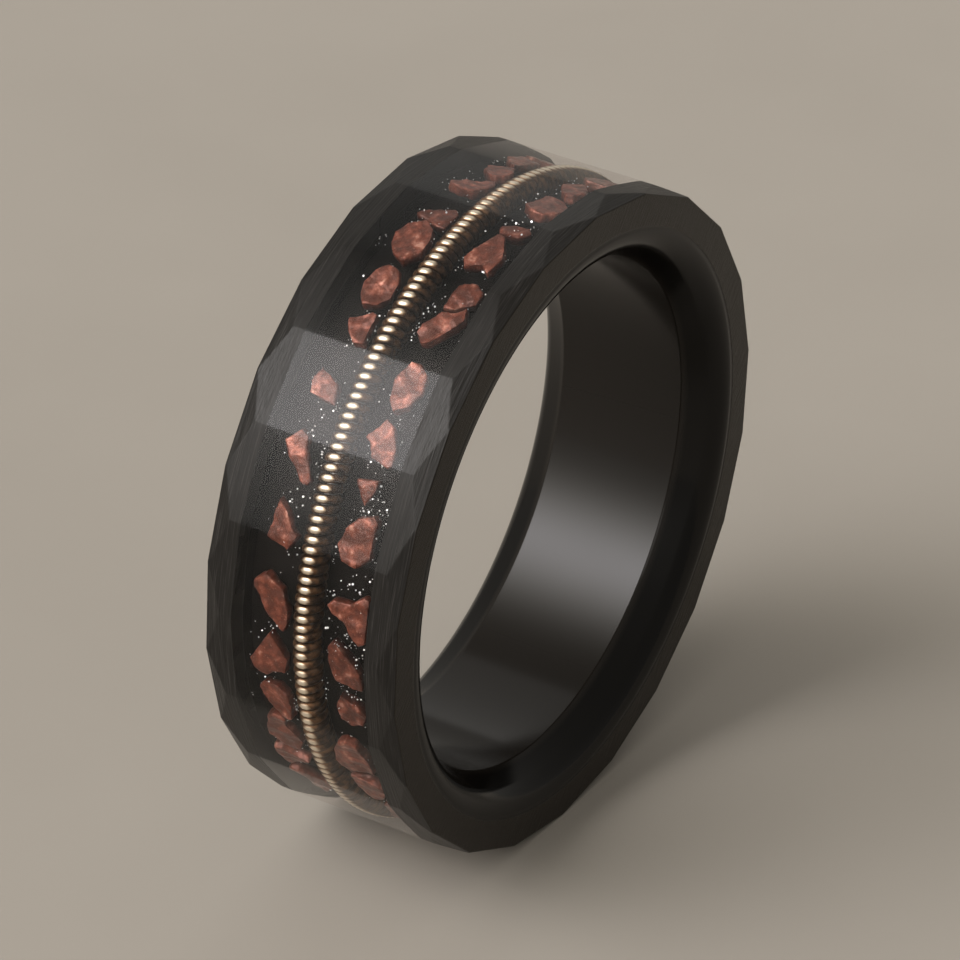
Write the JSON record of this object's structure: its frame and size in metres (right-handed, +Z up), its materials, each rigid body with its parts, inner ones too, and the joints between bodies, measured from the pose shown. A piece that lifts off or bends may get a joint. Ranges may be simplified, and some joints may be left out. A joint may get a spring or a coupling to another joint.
{
  "type": "finger ring with guitar string inlay",
  "caption": "A black hammered finger ring with a wound guitar string and copper chips set in clear resin around the rim",
  "frame": {"origin": "middle of the finger bore, halfway between the two side faces", "axes": "+Y runs along the finger bore, +Z is up with the ring standing on one flat of its rim, +X completes the frame"},
  "size_m": [0.0256, 0.008, 0.0254],
  "materials": {
    "black_carbide": "brushed black outside, polished black bore",
    "black_resin": "gloss",
    "core_steel": "drawn steel",
    "wrap_bronze": "polished bronze wire",
    "clear_resin": "clear, polished flat",
    "glitter": "bright metal flakes",
    "copper_chip": "chipped copper stone, satin"
  },
  "bodies": {
    "root": {"band": "black_carbide", "resin_bed": "black_resin", "string_core": "core_steel", "string_wrap": "wrap_bronze", "clear_resin": "clear_resin", "glitter_flakes": "glitter", "copper_chips_back_01": "copper_chip", "copper_chips_back_02": "copper_chip", "copper_chips_back_03": "copper_chip", "copper_chips_back_04": "copper_chip", "copper_chips_back_05": "copper_chip", "copper_chips_back_06": "copper_chip", "copper_chips_back_07": "copper_chip", "copper_chips_back_08": "copper_chip", "copper_chips_back_09": "copper_chip", "copper_chips_back_10": "copper_chip", "copper_chips_back_11": "copper_chip", "copper_chips_back_12": "copper_chip", "copper_chips_back_13": "copper_chip", "copper_chips_back_14": "copper_chip", "copper_chips_back_15": "copper_chip", "copper_chips_back_16": "copper_chip", "copper_chips_back_17": "copper_chip", "copper_chips_back_18": "copper_chip", "copper_chips_front_01": "copper_chip", "copper_chips_front_02": "copper_chip", "copper_chips_front_03": "copper_chip", "copper_chips_front_04": "copper_chip", "copper_chips_front_05": "copper_chip", "copper_chips_front_06": "copper_chip", "copper_chips_front_07": "copper_chip", "copper_chips_front_08": "copper_chip", "copper_chips_front_09": "copper_chip", "copper_chips_front_10": "copper_chip", "copper_chips_front_11": "copper_chip", "copper_chips_front_12": "copper_chip", "copper_chips_front_13": "copper_chip", "copper_chips_front_14": "copper_chip", "copper_chips_front_15": "copper_chip", "copper_chips_front_16": "copper_chip", "copper_chips_front_17": "copper_chip", "copper_chips_front_18": "copper_chip"}
  },
  "joints": []
}
